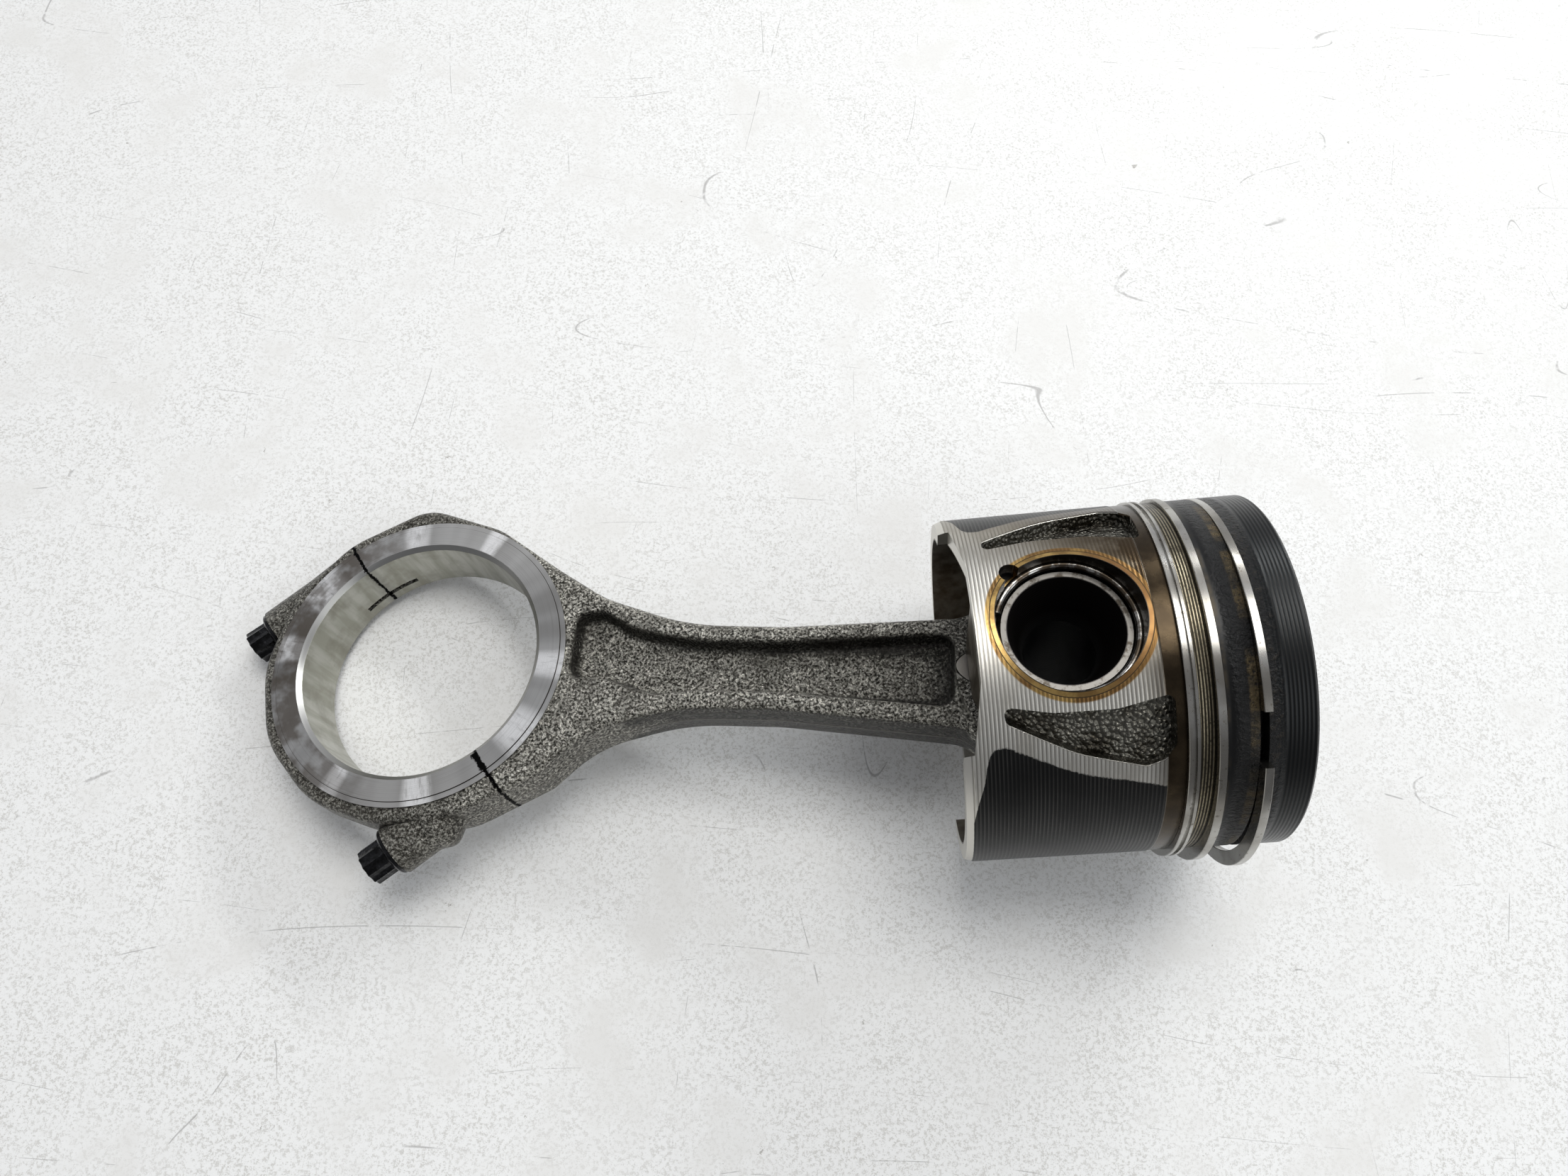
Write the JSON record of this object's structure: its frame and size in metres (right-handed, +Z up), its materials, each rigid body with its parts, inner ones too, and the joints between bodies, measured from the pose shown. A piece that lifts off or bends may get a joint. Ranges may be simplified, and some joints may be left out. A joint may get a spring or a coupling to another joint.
{
  "type": "piston with connecting rod",
  "caption": "Used diesel piston on its connecting rod, with sprung rings, a hollow gudgeon pin held by circlips, and a big end split at an angle and bolted.",
  "frame": {"origin": "on the floor, under the middle of the box round the whole part", "axes": "+X from the big end towards the crown of the piston, +Y to the left of that, +Z up"},
  "size_m": [0.2668, 0.1054, 0.0926],
  "materials": {
    "cast_aluminium": "turned, with cast pockets and carbon at the crown",
    "carrier_iron": "turned, stained with carbon",
    "bush_bronze": "bored smooth",
    "pin_steel": "ground, oily and dark inside",
    "circlip_steel": "spring wire",
    "ring_steel": "ground",
    "coil_steel": "spring wire",
    "forged_steel": "forged and shot blasted, machined at both ends",
    "bolt_steel": "black, oily"
  },
  "bodies": {
    "piston_body": {"piston": "cast_aluminium", "ring_carrier": "carrier_iron", "front_pin_bush": "bush_bronze", "rear_pin_bush": "bush_bronze", "front_circlip": "circlip_steel", "rear_circlip": "circlip_steel"},
    "rod_body": {"connecting_rod": "forged_steel", "small_end_bush": "bush_bronze", "rod_cap": "forged_steel", "upper_cap_bolt": "bolt_steel", "lower_cap_bolt": "bolt_steel"},
    "pin_body": {"gudgeon_pin": "pin_steel"},
    "top_ring_body": {"top_ring": "ring_steel"},
    "second_ring_body": {"second_ring": "ring_steel"},
    "oil_ring_body": {"oil_ring": "ring_steel", "oil_ring_expander": "coil_steel"}
  },
  "joints": [
    {"name": "rod_swing", "type": "hinge", "parent": "piston_body", "child": "rod_body", "pos_m": [0.07929, 0.00528, 0.04427], "axis": [-0.1749, 0.0687, 0.9822], "range_deg": [-29.75, 42.25]},
    {"name": "pin_float", "type": "hinge", "parent": "piston_body", "child": "pin_body", "pos_m": [0.07929, 0.00528, 0.04427], "axis": [-0.1749, 0.0687, 0.9822], "continuous": true},
    {"name": "top_ring_turn", "type": "hinge", "parent": "piston_body", "child": "top_ring_body", "pos_m": [0.11481, 0.00829, 0.04938], "axis": [0.9787, 0.1207, 0.1658], "continuous": true},
    {"name": "second_ring_turn", "type": "hinge", "parent": "piston_body", "child": "second_ring_body", "pos_m": [0.10602, 0.00843, 0.04837], "axis": [0.9787, 0.1207, 0.1658], "continuous": true},
    {"name": "oil_ring_turn", "type": "hinge", "parent": "piston_body", "child": "oil_ring_body", "pos_m": [0.10068, 0.00825, 0.04765], "axis": [0.9787, 0.1207, 0.1658], "continuous": true}
  ]
}
